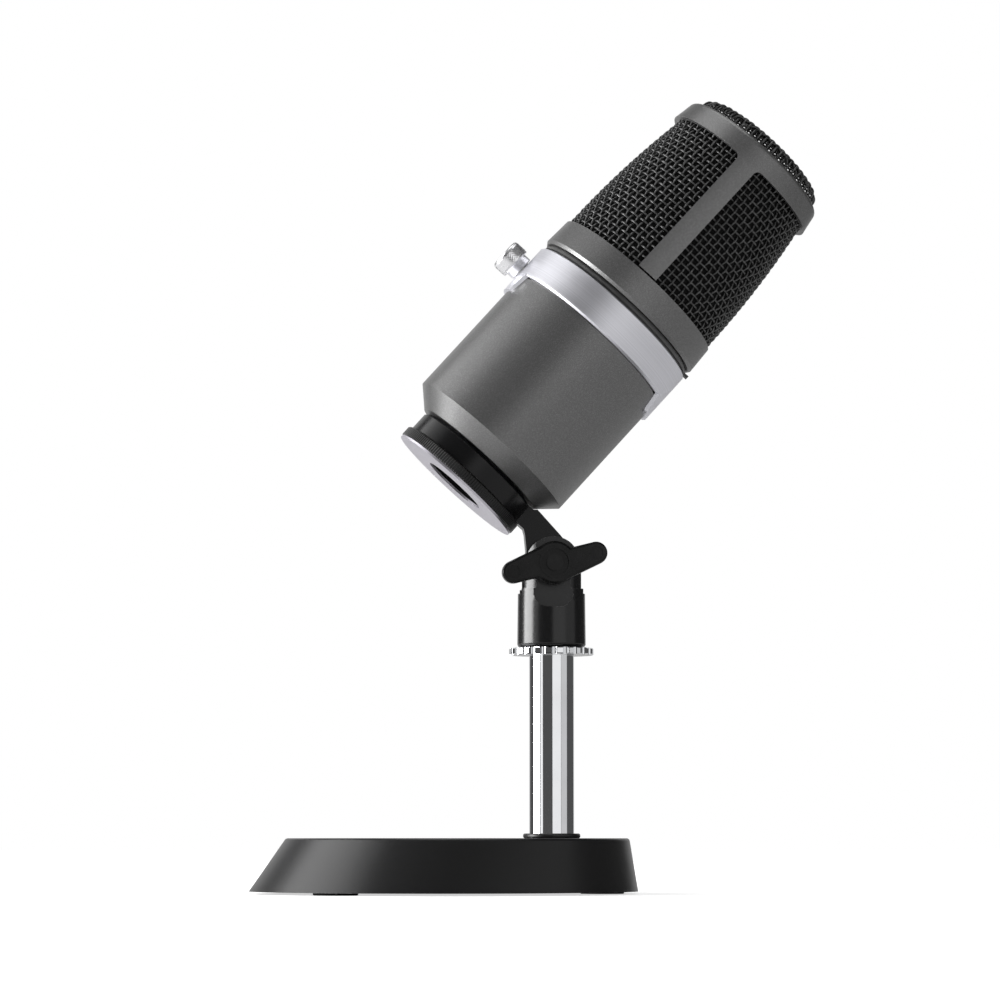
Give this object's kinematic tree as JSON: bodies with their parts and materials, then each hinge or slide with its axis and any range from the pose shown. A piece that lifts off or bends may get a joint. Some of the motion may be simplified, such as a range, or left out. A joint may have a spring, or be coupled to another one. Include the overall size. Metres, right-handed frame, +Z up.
{
  "type": "desktop microphone",
  "caption": "Side-address desktop microphone with a woven-mesh grille, silver band and volume knob, held by a tilting arm with a wing knob on a chrome pole and a heavy round base.",
  "frame": {"origin": "on the table, under the middle of the whole object", "axes": "+Z up; the microphone leans back towards +X and the base reaches forward to -X; the wing knob faces -Y"},
  "size_m": [0.2032, 0.1382, 0.2851],
  "materials": {
    "base_paint": "satin, fine grain",
    "ballast_steel": "black oxide",
    "black_screws": "black oxide",
    "foot_rubber": "matt",
    "collar_plastic": "satin",
    "pole_chrome": "mirror",
    "plain_steel": "turned",
    "lock_chrome": "mirror",
    "clevis_black": "gloss",
    "insert_brass": "turned",
    "washer_nylon": "matt",
    "knob_black": "satin",
    "arm_black": "satin",
    "nut_black": "satin",
    "nut_face_metal": "satin",
    "neck_black": "black anodised",
    "socket_plastic": "satin",
    "socket_steel": "bright",
    "board_green": "solder mask",
    "shell_gunmetal": "satin metallic",
    "chassis_plastic": "matt",
    "band_silver": "satin anodised",
    "gasket_rubber": "matt",
    "collar_gunmetal": "satin metallic",
    "frame_gunmetal": "satin metallic",
    "mesh_wire": "black woven wire",
    "retainer_plastic": "matt",
    "filter_foam": "open foam",
    "mount_rubber": "matt",
    "capsule_brass": "turned",
    "diaphragm_gold": "gold sputtered film",
    "lead_jacket": "insulation",
    "volume_chrome": "bright, ribbed",
    "shaft_steel": "turned"
  },
  "bodies": {
    "stand": {"base_casting": "base_paint", "base_plate": "ballast_steel", "base_plate_screws": "black_screws", "rubber_feet": "foot_rubber", "pole_foot_ring": "collar_plastic", "pole_tube": "pole_chrome", "pole_foot_plug": "plain_steel", "pole_washer": "black_screws", "pole_bolt": "black_screws", "pole_stud": "plain_steel"},
    "lock_ring": {"lock_ring": "lock_chrome"},
    "clevis": {"clevis": "clevis_black", "clevis_insert": "insert_brass", "hinge_nut": "plain_steel", "friction_washers": "washer_nylon"},
    "wing_knob": {"wing_knob": "knob_black", "hinge_bolt": "plain_steel"},
    "arm": {"support_arm": "arm_black"},
    "microphone": {"threaded_neck": "neck_black", "neck_screws": "socket_steel", "connector_plate": "socket_plastic", "usb_socket": "socket_steel", "headphone_jack": "socket_plastic", "socket_board": "board_green", "body_shell": "shell_gunmetal", "chassis": "chassis_plastic", "main_board": "board_green", "board_screws": "socket_steel", "trim_band": "band_silver", "gasket_ring": "gasket_rubber", "grille_base_ring": "collar_gunmetal", "grille_frame": "frame_gunmetal", "side_mesh": "mesh_wire", "top_mesh": "mesh_wire", "mesh_retainer": "retainer_plastic", "foam_liner": "filter_foam", "capsule_mount": "mount_rubber", "capsule_body": "capsule_brass", "capsule_diaphragm": "diaphragm_gold", "capsule_clamp_ring": "capsule_brass", "capsule_leads": "lead_jacket", "volume_control": "socket_plastic"},
    "clamp_nut": {"clamp_nut": "nut_black", "nut_face_plate": "nut_face_metal"},
    "volume_knob": {"volume_knob": "volume_chrome", "volume_shaft": "shaft_steel"}
  },
  "joints": [
    {"name": "lock_ring_turn", "type": "hinge", "parent": "stand", "child": "lock_ring", "pos_m": [0.00595, 0, 0.086], "axis": [0, 0, 1], "continuous": true},
    {"name": "swivel", "type": "hinge", "parent": "stand", "child": "clevis", "pos_m": [0.00595, 0, 0.095], "axis": [0, 0, 1], "range_deg": [-180, 180]},
    {"name": "wing_knob_turn", "type": "hinge", "parent": "clevis", "child": "wing_knob", "pos_m": [0.00595, 0, 0.117], "axis": [0, 1, 0], "range_deg": [-180, 180]},
    {"name": "tilt", "type": "hinge", "parent": "clevis", "child": "arm", "pos_m": [0.00595, 0, 0.117], "axis": [0, 1, 0], "range_deg": [-72.3, 47.7]},
    {"name": "microphone_roll", "type": "hinge", "parent": "arm", "child": "microphone", "pos_m": [-0.02298, 0, 0.15183], "axis": [0.673, 0, 0.7396], "range_deg": [-180, 180]},
    {"name": "clamp_nut_turn", "type": "hinge", "parent": "microphone", "child": "clamp_nut", "pos_m": [-0.02702, 0, 0.14739], "axis": [0.673, 0, 0.7396], "range_deg": [-180, 180]},
    {"name": "volume_turn", "type": "hinge", "parent": "microphone", "child": "volume_knob", "pos_m": [-0.007, 0, 0.22585], "axis": [-0.7396, 0, 0.673], "range_deg": [-140, 140]}
  ]
}
